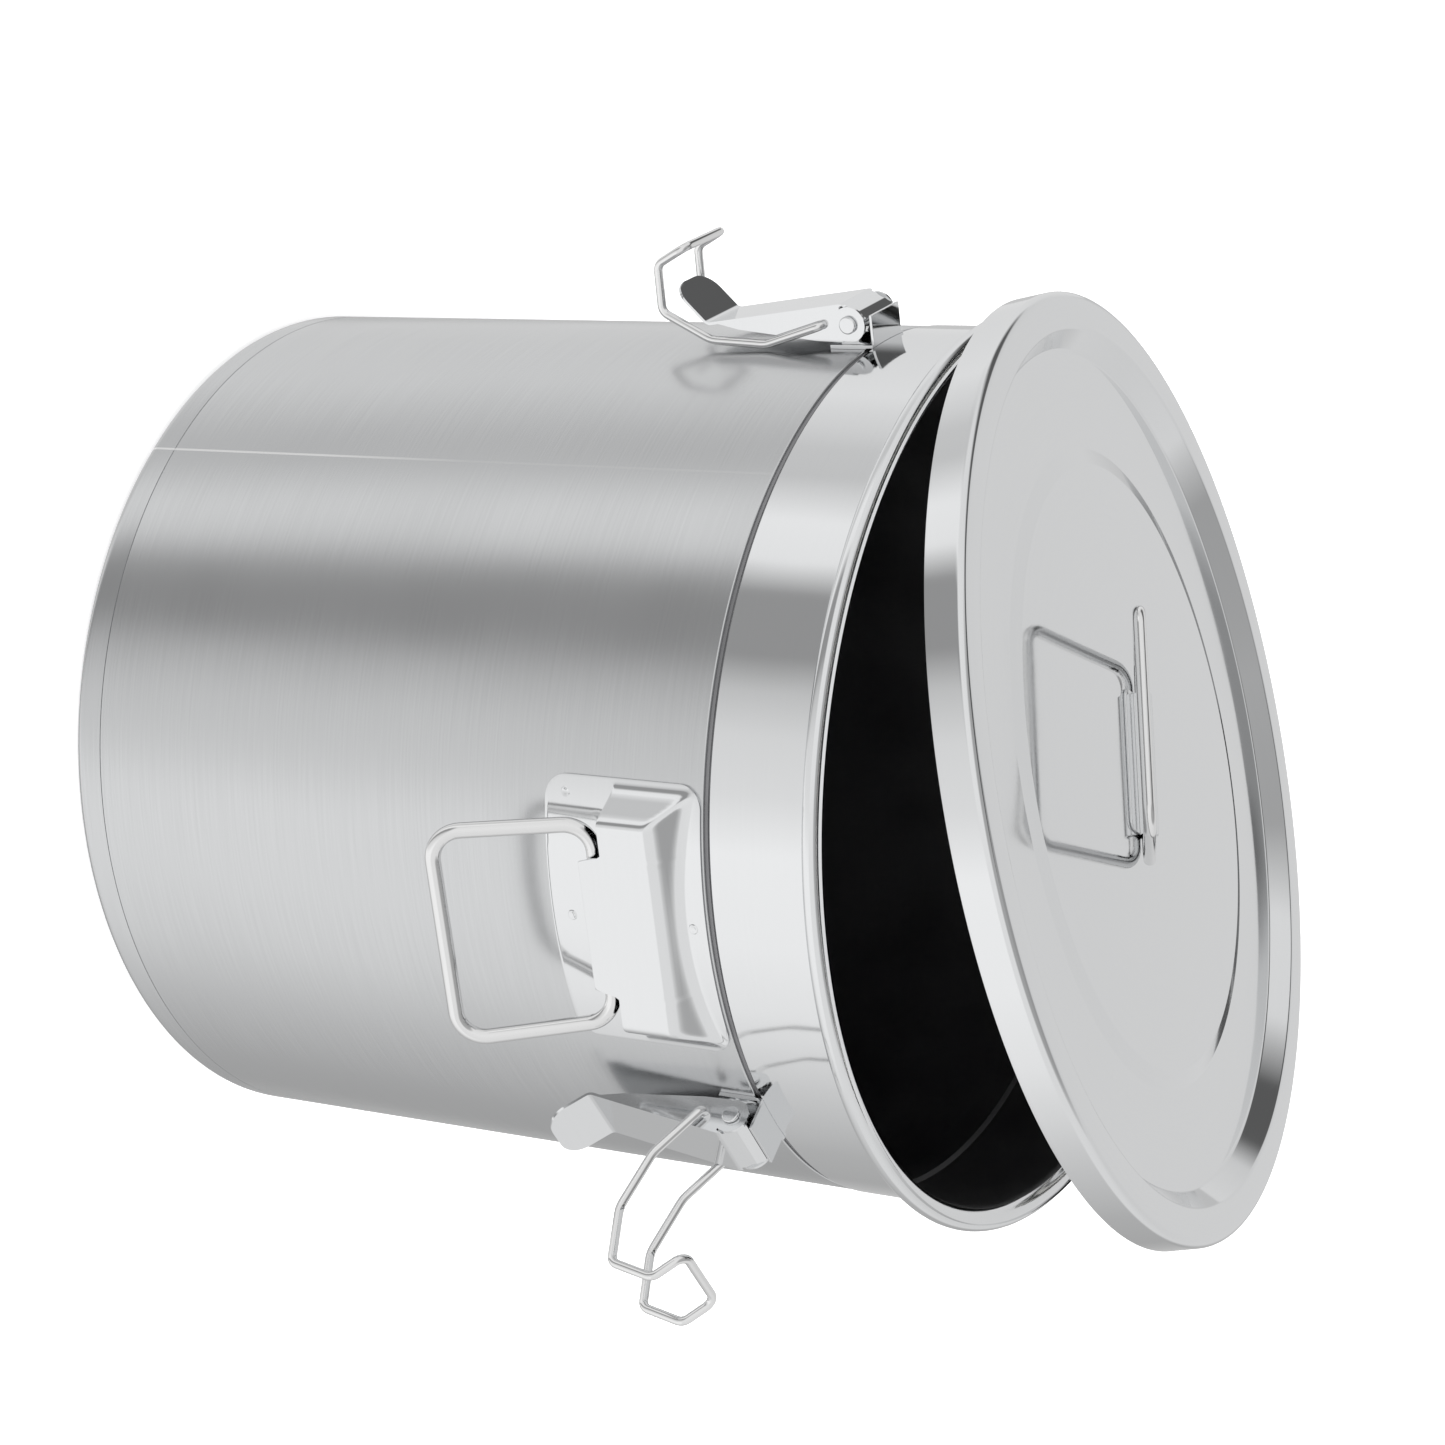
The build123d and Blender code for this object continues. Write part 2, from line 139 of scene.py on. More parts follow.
class MilkCanBailSizes(bpy.types.PropertyGroup):
    wire: size("Wire", "Thickness of the bail's wire", 0.0035)
    half_width: size("Half width", "From the middle to a side wire", 0.0159)
    stub_end: size("Stub", "Where the turned-in ends stop", 0.0095)
    bends: FloatVectorProperty(
        name="Bends",
        description="Radii of the side's bends, from the turned-in end to the bar",
        default=(0.0026, 0.012, 0.012, 0.0045, 0.0045, 0.0045),
        size=6,
    )
    start: FloatProperty(
        name="Start", description="Direction of the first run", default=math.radians(-107), subtype="ANGLE"
    )
    runs: FloatVectorProperty(
        name="Runs",
        description="Lengths of the side's runs",
        default=(0.0255, 0.025, 0.0237, 0.0191, 0.0145),
        size=5,
    )
    turns: FloatVectorProperty(
        name="Turns",
        description="Turn before each run, in degrees",
        default=(0, 20, 24.8, 63.6, 60.8),
        size=5,
    )


class MilkCanFinish(bpy.types.PropertyGroup):
    satin: StringProperty(name="Satin steel", description="sRGB hex", default="D0D1D2")
    satin_low: StringProperty(name="Satin steel, dull", description="sRGB hex", default="CBCCCD")
    mirror: StringProperty(name="Polished steel", description="sRGB hex", default="E2E3E4")
    mirror_low: StringProperty(name="Polished steel, dull", description="sRGB hex", default="E1E2E3")
    wire: StringProperty(name="Bright wire", description="sRGB hex", default="E6E6E6")
    # Painted shade: the can's inner faces get this darker steel colour for the shade inside the can.
    inside: StringProperty(name="Inner wall", description="sRGB hex", default="8A8A8C")
    # Painted shade: the groove under the neck gets this darker steel colour for the shade in the groove.
    seam: StringProperty(name="Seam", description="sRGB hex", default="9A9A9C")
    sheared: StringProperty(name="Sheared edge", description="sRGB hex", default="909092")
    weld: StringProperty(name="Weld line", description="sRGB hex", default="F2F2F2")
    weld_azimuth: FloatProperty(name="Weld", description="Degrees round the drum", default=302)
    weld_half: FloatProperty(name="Weld width", description="Half of it, in radians", default=0.003)
    gasket: StringProperty(name="Silicone", description="sRGB hex", default="E9E8E4")
    grit: size("Grit line", "Spacing of the satin lines", 0.0008)


class MilkCanStage(bpy.types.PropertyGroup):
    camera_at: FloatVectorProperty(
        name="Camera",
        description="Where the camera stands",
        default=(1.1306, -0.4799, 0.9128),
        subtype="TRANSLATION",
    )
    camera_turn: FloatVectorProperty(
        name="Camera turn",
        description="The camera's rotation, rolled a quarter turn",
        default=tuple(math.radians(a) for a in (-8.2893, -59.5763, 166.9787)),
        subtype="EULER",
    )
    lens: FloatProperty(name="Lens", description="Focal length, mm", default=84.25)
    floor: StringProperty(name="Floor", description="sRGB hex", default="FFFFFF")


GROUPS = {
    "milk_can_drum": MilkCanDrumSizes,
    "milk_can_lid": MilkCanLidSizes,
    "milk_can_handles": MilkCanHandleSizes,
    "milk_can_bails": MilkCanBailSizes,
    "milk_can_finish": MilkCanFinish,
    "milk_can_stage": MilkCanStage,
}


# ---- helpers -----------------------------------------------------------------------------


def linear(code):
    """An sRGB hex colour as linear RGBA."""
    parts = [int(code[i : i + 2], 16) / 255 for i in (0, 2, 4)]
    return tuple(c / 12.92 if c <= 0.04045 else ((c + 0.055) / 1.055) ** 2.4 for c in parts) + (1.0,)


def add(tree, kind, inputs=None, **settings):
    """Adds a node. inputs maps a socket to its value, or to the output that feeds it."""
    made = tree.nodes.new(kind)
    for key, value in settings.items():
        setattr(made, key, value)
    for key, value in (inputs or {}).items():
        if isinstance(value, bpy.types.NodeSocket):
            tree.links.new(value, made.inputs[key])
        else:
            made.inputs[key].default_value = value
    return made


def ramp(node, stops):
    """Sets a colour ramp's stops, given as (place, grey or RGBA)."""
    band = node.color_ramp
    while len(band.elements) > 1:
        band.elements.remove(band.elements[-1])
    for number, (place, value) in enumerate(stops):
        stop = band.elements[0] if number == 0 else band.elements.new(place)
        stop.position = place
        stop.color = value if not isinstance(value, float) else (value, value, value, 1.0)


def begin():
    """Deselects everything, in object mode."""
    if bpy.context.object and bpy.context.object.mode != "OBJECT":
        bpy.ops.object.mode_set(mode="OBJECT")
    bpy.ops.object.select_all(action="DESELECT")


def rounded(points, radii, step=math.radians(9)):
    """An outline of (radius, height) points with its inner corners rounded."""
    line = [Vector(points[0])]
    for before, here, after, radius in zip(points, points[1:], points[2:], radii):
        here = Vector(here)
        back = (Vector(before) - here).normalized()
        onward = (Vector(after) - here).normalized()
        turn = math.pi - back.angle(onward)
        start = here + back * (radius * math.tan(turn / 2))
        centre = here + (back + onward).normalized() * (radius / math.cos(turn / 2))
        sign = 1 if back.x * onward.y - back.y * onward.x < 0 else -1
        steps = max(3, round(turn / step))
        for n in range(steps + 1):
            line.append(centre + Matrix.Rotation(sign * turn * n / steps, 2) @ (start - centre))
    line.append(Vector(points[-1]))
    return line


def arc(centre, radius, first, last, step=9):
    """Points on an arc, in degrees from the outward direction."""
    steps = max(3, round(abs(last - first) / step))
    angles = [math.radians(first + (last - first) * n / steps) for n in range(steps + 1)]
    return [Vector(centre) + radius * Vector((math.cos(a), math.sin(a))) for a in angles]


def with_thickness(line, sheet):
    """The closed section of a sheet whose outer face follows the line, its body on the left."""
    inner = []
    for n, here in enumerate(line):
        into = here - line[n - 1] if n else line[1] - here
        out = line[n + 1] - here if n < len(line) - 1 else into
        into, out = into.normalized(), out.normalized()
        middle = (into + out).normalized()
        left = Vector((-middle.y, middle.x))
        inner.append(here + left * (sheet / max(0.5, middle.dot(into))))
    if abs(line[-1].x) < 1e-9:
        inner[-1].x = 0
    return line + inner[::-1]


def turned(name, outline, segments, closed=True):
    """A piece turned from its section: a vertex extruded along it, then spun round the axis."""
    kept = [outline[0]] + [b for a, b in zip(outline, outline[1:]) if (b - a).length > 2e-6]
    begin()
    bpy.ops.mesh.primitive_plane_add(size=0.0001, location=(kept[0].x, 0, kept[0].y))
    piece = bpy.context.object
    piece.name = name
    bpy.ops.object.transform_apply(location=True, rotation=True, scale=True)
    bpy.ops.object.mode_set(mode="EDIT")
    bpy.ops.mesh.select_all(action="SELECT")
    bpy.ops.mesh.merge(type="CENTER")
    bpy.ops.mesh.select_all(action="SELECT")
    for here, after in zip(kept, kept[1:] + kept[:1] * closed):
        step = (after.x - here.x, 0, after.y - here.y)
        bpy.ops.mesh.extrude_region_move(TRANSFORM_OT_translate={"value": step})
    bpy.ops.mesh.select_all(action="SELECT")
    bpy.ops.mesh.spin(
        steps=segments, angle=math.tau, center=(0, 0, 0), axis=(0, 0, 1), use_auto_merge=True
    )
    return closed_up(piece, 35)


def closed_up(piece, smooth_angle):
    """Merges doubles, turns the faces outwards and shades the piece smooth."""
    if piece.mode != "EDIT":
        begin()
        bpy.context.view_layer.objects.active = piece
        piece.select_set(True)
        bpy.ops.object.mode_set(mode="EDIT")
    bpy.ops.mesh.select_all(action="SELECT")
    bpy.ops.mesh.remove_doubles(threshold=2e-6)
    bpy.ops.mesh.select_all(action="SELECT")
    bpy.ops.mesh.normals_make_consistent(inside=False)
    bpy.ops.object.mode_set(mode="OBJECT")
    bpy.ops.object.shade_smooth_by_angle(angle=math.radians(smooth_angle))
    return piece


def bent_wire(name, route, thickness, bends, closed=False):
    """Round wire bent at the route's corners: a ring extruded along each run and spun round each bend."""
    points = [Vector(point) for point in route]
    heading = (points[1] - points[0]).normalized()
    start = (points[0] + points[1]) / 2 if closed else points[0]
    corners = points[1:] + points[:1] if closed else points[1:-1]
    end = start if closed else points[-1]
    begin()
    bpy.ops.mesh.primitive_circle_add(
        vertices=WIRE_SIDES,
        radius=thickness / 2,
        location=start,
        rotation=heading.to_track_quat("Z", "Y").to_euler(),
    )
    piece = bpy.context.object
    piece.name = name
    bpy.ops.object.transform_apply(location=True, rotation=True, scale=True)
    bpy.ops.object.mode_set(mode="EDIT")
    bpy.ops.mesh.select_all(action="SELECT")
    here = start
    for corner, after, bend in zip(corners, corners[1:] + [end], bends):
        onward = (after - corner).normalized()
        turn = heading.angle(onward)
        arc_start = corner - heading * (bend * math.tan(turn / 2))
        axis = heading.cross(onward).normalized()
        bpy.ops.mesh.extrude_region_move(TRANSFORM_OT_translate={"value": arc_start - here})
        # spin turns the other way round its axis
        bpy.ops.mesh.spin(
            steps=max(3, round(turn / WIRE_STEP)),
            angle=-turn,
            center=arc_start + axis.cross(heading) * bend,
            axis=axis,
        )
        here = corner + onward * (bend * math.tan(turn / 2))
        heading = onward
    bpy.ops.mesh.extrude_region_move(TRANSFORM_OT_translate={"value": end - here})
    if not closed:
        bpy.ops.mesh.select_all(action="SELECT")
        bpy.ops.mesh.fill_holes(sides=WIRE_SIDES)
    return closed_up(piece, 50)


def placed(piece, matrix):
    """Moves a piece's mesh by the matrix and leaves its object at the origin."""
    begin()
    piece.matrix_world = matrix
    piece.select_set(True)
    bpy.context.view_layer.objects.active = piece
    bpy.ops.object.transform_apply(location=True, rotation=True, scale=True)
    return piece


def round_z(azimuth):
    """Turns a piece drawn at azimuth 0 to its place round the can."""
    return Matrix.Rotation(math.radians(azimuth), 4, "Z")


def about(joint, degrees):
    """The turn about a joint's axis."""
    pivot = Matrix.Translation(Vector(JOINTS[joint]["pos_m"]))
    return pivot @ Matrix.Rotation(math.radians(degrees), 4, Vector(JOINTS[joint]["axis"])) @ pivot.inverted()


def at_rest(joint):
    """The turn from the joint's lower limit, where the piece is drawn, to rest."""
    return about(joint, -JOINTS[joint]["range_deg"][0])


def joint_azimuth(joint):
    """Where a joint stands round the can, in degrees."""
    x, y, _ = JOINTS[joint]["pos_m"]
    return math.degrees(math.atan2(y, x))


def dressed(node, width=0.0003, angle=30, segments=2):
    """A copy of a CAD node's mesh with its edges eased, as tumbling leaves them."""
    begin()
    source = frame["nodes"][node]
    piece = source.copy()
    piece.data = source.data.copy()
    piece.name = node + "_eased"
    piece.parent = None
    bpy.context.scene.collection.objects.link(piece)
    piece.matrix_world = Matrix.Identity(4)
    piece.data.materials.clear()
    bpy.context.view_layer.objects.active = piece
    piece.select_set(True)
    bpy.ops.object.mode_set(mode="EDIT")
    bpy.ops.mesh.select_all(action="SELECT")
    bpy.ops.mesh.remove_doubles(threshold=1e-6)
    bpy.ops.mesh.dissolve_limited(angle_limit=math.radians(0.6))
    bpy.ops.object.mode_set(mode="OBJECT")
    if width:
        ease = piece.modifiers.new("eased", "BEVEL")
        ease.width = width
        ease.segments = segments
        ease.limit_method = "ANGLE"
        ease.angle_limit = math.radians(angle)
        ease.use_clamp_overlap = True
        bpy.ops.object.modifier_apply(modifier=ease.name)
    bpy.ops.object.shade_smooth_by_angle(angle=math.radians(40))
    level = piece.modifiers.new("level", "WEIGHTED_NORMAL")
    level.weight = 100
    level.keep_sharp = True
    bpy.ops.object.modifier_apply(modifier=level.name)
    return piece


def finish_piece(piece, body, slot, material, *nodes):
    """Rides the piece on its body and lets it stand for its CAD nodes."""
    if material is not None:
        piece.data.materials.clear()
        piece.data.materials.append(material)
    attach(piece, body)
    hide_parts(*nodes)


# ---- finishes ----------------------------------------------------------------------------


def new_material(name):
    """A material with its Principled shader, its node tree and its Object coordinates."""
    material = bpy.data.materials.new(name)
    material.use_nodes = True
    tree = material.node_tree
    shader = tree.nodes["Principled BSDF"]
    where = add(tree, "ShaderNodeTexCoord").outputs["Object"]
    return material, tree, shader, where


def round_marks(tree, where, spacing, length, flat=False):
    """Fine marks that run round the can's axis: along the wall, or as rings on a flat face."""
    apart = add(tree, "ShaderNodeSeparateXYZ", {"Vector": where})
    x, y, z = (apart.outputs[key] for key in ("X", "Y", "Z"))
    angle = compass(tree, apart)
    across = z
    if flat:
        flattened = add(tree, "ShaderNodeCombineXYZ", {"X": x, "Y": y}).outputs[0]
        across = add(tree, "ShaderNodeVectorMath", {0: flattened}, operation="LENGTH").outputs["Value"]
    along = add(tree, "ShaderNodeMath", {0: angle, 1: MARKS_RADIUS / length}, operation="MULTIPLY").outputs[0]
    lines = add(tree, "ShaderNodeMath", {0: across, 1: 1 / spacing}, operation="MULTIPLY").outputs[0]
    at = add(tree, "ShaderNodeCombineXYZ", {"X": along, "Y": lines}).outputs[0]
    return add(
        tree, "ShaderNodeTexNoise", {"Vector": at, "Scale": 1.0, "Detail": 3.0, "Roughness": 0.6}
    ).outputs["Fac"]


def patchy_gloss(tree, where, shader, scale, detail, low, high, start=0.3):
    """Lets the roughness drift between two values in soft patches, and gives the patches."""
    cloud = {"Vector": where, "Scale": scale, "Detail": detail}
    patches = add(tree, "ShaderNodeTexNoise", cloud).outputs["Fac"]
    spread = {"Value": patches, "From Min": start, "From Max": 0.7, "To Min": low, "To Max": high}
    gloss = add(tree, "ShaderNodeMapRange", spread).outputs["Result"]
    tree.links.new(gloss, shader.inputs["Roughness"])
    return patches


def compass(tree, apart):
    """The angle round the upright axis of a separated vector."""
    around = {0: apart.outputs["Y"], 1: apart.outputs["X"]}
    return add(tree, "ShaderNodeMath", around, operation="ARCTAN2").outputs[0]


def satin_ground_steel():
    """Stainless sheet ground with a belt: blurred reflections, fine level lines, small dull clouds."""
    finish = bpy.context.scene.milk_can_finish
    material, tree, shader, where = new_material("satin_ground_stainless_sheet")
    # Belt lines are about 0.1 mm apart; they are drawn at the grit value so that they show.
    marks = round_marks(tree, where, finish.grit, 0.06)
    tint = add(tree, "ShaderNodeValToRGB", {"Fac": marks})
    ramp(tint, ((0.3, linear(finish.satin_low)), (0.7, linear(finish.satin))))
    # The drum's upright weld, a lighter line about a millimetre wide that the grinding fades upwards.
    apart = add(tree, "ShaderNodeSeparateXYZ", {"Vector": where})
    weld = math.radians((finish.weld_azimuth + 180) % 360 - 180)
    near = {0: compass(tree, apart), 1: weld, 2: finish.weld_half}
    on_line = add(tree, "ShaderNodeMath", near, operation="COMPARE").outputs[0]
    fade = add(
        tree,
        "ShaderNodeMapRange",
        {"Value": apart.outputs["Z"], "From Min": 0.09, "From Max": 0.16, "To Min": 1.0, "To Max": 0.08},
    ).outputs["Result"]
    share = add(tree, "ShaderNodeMath", {0: on_line, 1: fade}, operation="MULTIPLY").outputs[0]
    lit = add(
        tree,
        "ShaderNodeMix",
        {0: share, 6: tint.outputs["Color"], 7: linear(finish.weld)},
        data_type="RGBA",
    )
    tree.links.new(lit.outputs[2], shader.inputs["Base Color"])
    patchy_gloss(tree, where, shader, 14.0, 2.0, 0.19, 0.25)
    bump = add(tree, "ShaderNodeBump", {"Height": marks, "Strength": 0.018, "Distance": 0.0002})
    tree.links.new(bump.outputs["Normal"], shader.inputs["Normal"])
    shader.inputs["Metallic"].default_value = 1.0
    return material


def polished_steel(name, turn=None, flat=False):
    """Buffed stainless: clear reflections, slightly wavy, with faint hairlines from the buffing wheel."""
    finish = bpy.context.scene.milk_can_finish
    material, tree, shader, where = new_material(name)
    if turn is not None:
        where = add(tree, "ShaderNodeMapping", {"Vector": where}).outputs["Vector"]
        mapping = where.node
        mapping.inputs["Location"].default_value = turn.to_translation()
        mapping.inputs["Rotation"].default_value = turn.to_euler()
    marks = round_marks(tree, where, finish.grit * 1.5, 0.08, flat)
    tint = add(tree, "ShaderNodeValToRGB", {"Fac": marks})
    ramp(tint, ((0.3, linear(finish.mirror_low)), (0.7, linear(finish.mirror))))
    tree.links.new(tint.outputs["Color"], shader.inputs["Base Color"])
    patchy_gloss(tree, where, shader, 25.0, 3.0, 0.05, 0.09)
    # The sheet's waviness, a few hundredths of a millimetre over two or three centimetres.
    waves = add(tree, "ShaderNodeTexNoise", {"Vector": where, "Scale": 38.0, "Detail": 0.0}).outputs["Fac"]
    bend = {"Height": waves, "Strength": 0.1, "Distance": 0.0006}
    wavy = add(tree, "ShaderNodeBump", bend).outputs["Normal"]
    hairlines = {"Height": marks, "Strength": 0.001, "Distance": 0.0002, "Normal": wavy}
    bump = add(tree, "ShaderNodeBump", hairlines)
    tree.links.new(bump.outputs["Normal"], shader.inputs["Normal"])
    shader.inputs["Metallic"].default_value = 1.0
    return material


def bright_drawn_wire():
    """Electropolished drawn wire: bright, with short dull patches where it has been handled."""
    finish = bpy.context.scene.milk_can_finish
    material, tree, shader, where = new_material("bright_drawn_wire")
    patches = patchy_gloss(tree, where, shader, 160.0, 4.0, 0.07, 0.12, start=0.35)
    bump = add(tree, "ShaderNodeBump", {"Height": patches, "Strength": 0.01, "Distance": 0.0002})
    tree.links.new(bump.outputs["Normal"], shader.inputs["Normal"])
    shader.inputs["Base Color"].default_value = linear(finish.wire)
    shader.inputs["Metallic"].default_value = 1.0
    return material


def dull_steel_and_painted_shade(name, code):
    """Dull, cloudy steel in a darker colour: painted shade on the inner walls and in the seam under the neck,
    and a sheared edge.
    """
    material, tree, shader, where = new_material(name)
    patchy_gloss(tree, where, shader, 30.0, 4.0, 0.4, 0.55)
    shader.inputs["Base Color"].default_value = linear(code)
    shader.inputs["Metallic"].default_value = 1.0
    return material


def moulded_silicone():
    """White moulded silicone: soft, slightly translucent, with a fine matt grain."""
    finish = bpy.context.scene.milk_can_finish
    material, tree, shader, where = new_material("white_moulded_silicone")
    # The mould's grain is about 0.3 mm.
    grain = add(tree, "ShaderNodeTexNoise", {"Vector": where, "Scale": 3000.0, "Detail": 2.0}).outputs["Fac"]
    bump = add(tree, "ShaderNodeBump", {"Height": grain, "Strength": 0.15, "Distance": 0.0001})
    tree.links.new(bump.outputs["Normal"], shader.inputs["Normal"])
    shader.inputs["Base Color"].default_value = linear(finish.gasket)
    shader.inputs["Roughness"].default_value = 0.45
    shader.inputs["Subsurface Weight"].default_value = 0.15
    shader.inputs["Subsurface Radius"].default_value = (0.002, 0.002, 0.002)
    return material


# ---- pieces ------------------------------------------------------------------------------


class MILK_CAN_OT_drum(bpy.types.Operator):
    """Adds the drum's wall and its pressed base"""

    bl_idname = "milk_can.drum"
    bl_label = "Drum"

    def execute(self, context):
        sizes = context.scene.milk_can_drum
        satin = satin_ground_steel()
        low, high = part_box("body_shell")
        radius = high.x
        inner = radius - sizes.sheet
        middle = (inner, (low.z + high.z) / 2)
        line = rounded(
            (middle, (inner, low.z), (radius, low.z), (radius, high.z), (inner, high.z), middle),
            (sizes.sheet * 0.1, sizes.joint_round, sizes.sheet * 0.8, sizes.sheet * 0.1),
            step=math.radians(15),
        )
        wall = turned("drum_wall", line[:-1], sizes.segments)
        finish_piece(wall, "can", "satin_steel", satin, "body_shell")
        # Painted shade: the drum's inner faces take the darker inside colour for the shade within the can.
        wall.data.materials.append(dull_steel_and_painted_shade("painted_shade_inner_wall", context.scene.milk_can_finish.inside))
        for face in wall.data.polygons:
            face.material_index = int(face.center.xy.length < inner + 0.0001)

        base_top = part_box("base_pan")[1].z
        line = rounded(
            (
                (radius, base_top),
                (radius, 0),
                (sizes.foot_inner, 0),
                (sizes.foot_inner - sizes.base_slope, sizes.base_rise),
                (sizes.floor_flat + sizes.base_slope, sizes.base_rise),
                (sizes.floor_flat, 0),
                (0, 0),
            ),
            (sizes.base_corner, *[sizes.base_fillet] * 4),
        )
        base = turned("pressed_base", with_thickness(line[::-1], sizes.sheet), sizes.segments, closed=False)
        finish_piece(base, "can", "satin_steel", satin, "base_pan")
        return {"FINISHED"}


class MILK_CAN_OT_neck(bpy.types.Operator):
    """Adds the neck with its rolled rim"""

    bl_idname = "milk_can.neck"
    bl_label = "Neck and rolled rim"

    def execute(self, context):
        sizes = context.scene.milk_can_drum
        low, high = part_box("neck_ring")
        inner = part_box("body_shell")[1].x - sizes.sheet
        neck_radius, wire = sizes.neck_radius, sizes.rim_wire
        wire_circle = high.x - sizes.sheet - wire
        curl = wire_circle - neck_radius
        wire_height = high.z - sizes.sheet - wire
        curl_height = wire_height + wire - curl
        line = [
            Vector((inner, low.z)),
            Vector((inner, sizes.groove_top - sizes.groove_slope)),
            Vector((neck_radius, sizes.groove_top)),
        ]
        line += arc((wire_circle, curl_height), curl, 180, 90, step=6)
        line += arc((wire_circle, wire_height), wire, 90, -135, step=10)
        piece = turned("neck_and_rolled_rim", with_thickness(line, sizes.sheet), sizes.segments)
        steel = polished_steel("buffed_stainless_neck")
        finish_piece(piece, "can", "polished_steel", steel, "neck_ring", "rim_wire")
        colours = context.scene.milk_can_finish
        # Painted shade: the neck's inner faces take the darker inside colour for the shade within the can.
        piece.data.materials.append(dull_steel_and_painted_shade("painted_shade_inner_neck", colours.inside))
        # Painted shade: faces below the groove's top take the darker seam colour for the shade in the groove.
        piece.data.materials.append(dull_steel_and_painted_shade("painted_shade_seam", colours.seam))
        for face in piece.data.polygons:
            inwards = face.normal.xy.dot(face.center.xy) < 0
            if inwards and face.center.xy.length < neck_radius - 0.0003:
                face.material_index = 1
            elif face.center.z < sizes.groove_top:
                face.material_index = 2
        return {"FINISHED"}


def lid_placement(sizes):
    """From the closed, centred lid to where it rests."""
    hinge = JOINTS["lid_tilt"]
    axis = Vector(hinge["axis"])
    low_side = Vector((axis.y, -axis.x, 0))
    play = sizes.skirt - Vector(hinge["pos_m"]).xy.length
    return at_rest("lid_tilt") @ Matrix.Translation(low_side * -play)


class MILK_CAN_OT_lid(bpy.types.Operator):
    """Adds the pressed lid, its seal and the clip of its handle"""

    bl_idname = "milk_can.lid"
    bl_label = "Lid"

    def execute(self, context):
        sizes = context.scene.milk_can_lid
        drum = context.scene.milk_can_drum
        place = lid_placement(sizes)
        recess = sizes.top - sizes.recess_depth
        line = rounded(
            (
                (sizes.skirt, sizes.skirt_bottom),
                (sizes.skirt, sizes.top),
                (sizes.recess_radius, sizes.top),
                (sizes.recess_foot, recess),
                (sizes.plateau_foot, recess),
                (sizes.plateau, recess + sizes.plateau_rise),
                (0, recess + sizes.plateau_rise),
            ),
            (sizes.shoulder, 0.0022, 0.0020, 0.0040, 0.0040),
            step=math.radians(6),
        )
        panel = turned("pressed_lid", with_thickness(line, drum.sheet), drum.segments, closed=False)
        placed(panel, place)
        steel = polished_steel("buffed_stainless_lid", place.inverted(), flat=True)
        finish_piece(panel, "lid", "polished_steel", steel, "lid_panel")

        inside, outside, bottom = sizes.seal_inner, sizes.seal_outer, sizes.seal_bottom
        seal_top = sizes.top - drum.sheet
        middle = (bottom + seal_top) / 2
        line = rounded(
            (
                (outside, middle),
                (outside, seal_top),
                (inside, seal_top),
                (inside, bottom),
                (outside, bottom),
                (outside, middle),
            ),
            (0.0002, 0.0002, 0.0006, 0.0006),
            step=math.radians(30),
        )
        seal = turned("lid_seal", line[:-1], drum.segments)
        placed(seal, place)
        finish_piece(seal, "lid", "gasket", moulded_silicone(), "lid_gasket")

        clip = dressed("lid_clip", width=0.0004)
        finish_piece(clip, "lid", "polished_steel", polished_steel("buffed_stainless_clip"), "lid_clip")
        return {"FINISHED"}


class MILK_CAN_OT_lid_handle(bpy.types.Operator):
    """Adds the lid's wire handle"""

    bl_idname = "milk_can.lid_handle"
    bl_label = "Lid handle"

    def execute(self, context):
        sizes = context.scene.milk_can_handles
        swing = JOINTS["lid_handle_swing"]
        along = Vector(swing["axis"])
        # Drawn flat along X with its grip towards -Y, then set to the hinge bar's line and lift.
        loop = bent_wire(
            "lid_handle_loop",
            (
                (sizes.lid_hinge_half, 0, 0),
                (sizes.lid_grip_half, -sizes.lid_depth, 0),
                (-sizes.lid_grip_half, -sizes.lid_depth, 0),
                (-sizes.lid_hinge_half, 0, 0),
            ),
            sizes.lid_wire,
            [sizes.lid_bend] * 4,
            closed=True,
        )
        low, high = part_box("lid_handle")
        pivot = Vector(swing["pos_m"])
        grip = ((low + high) / 2 - pivot)
        grip = (grip - along * grip.dot(along)).normalized()
        turn = Matrix((along, -grip, along.cross(-grip))).transposed().to_4x4()
        placed(loop, Matrix.Translation(pivot) @ turn)
        finish_piece(loop, "lid_handle", "wire_steel", bright_drawn_wire(), "lid_handle")
        return {"FINISHED"}


def soft_max(a, b, blend):
    """The larger of two values, rounded where they are close."""
    close = max(blend - abs(a - b), 0) / blend
    return max(a, b) + close * close * blend / 4


def plate_surface(sizes, radius, flat, across, up, raised):
    """How far the plate's outer face stands out, at a place across the drum and up it."""
    plate = math.sqrt(radius**2 - across**2)
    if not raised:
        return plate
    side = flat - (abs(across) - sizes.hump_flat_half) * END_SLOPE
    top = flat - (up - sizes.hump_flat_top) * TOP_SLOPE
    hump = -soft_max(-flat, -side, PRESS_ROUND)
    hump = -soft_max(-hump, -top, PRESS_ROUND)
    return soft_max(plate, hump, PRESS_ROUND)


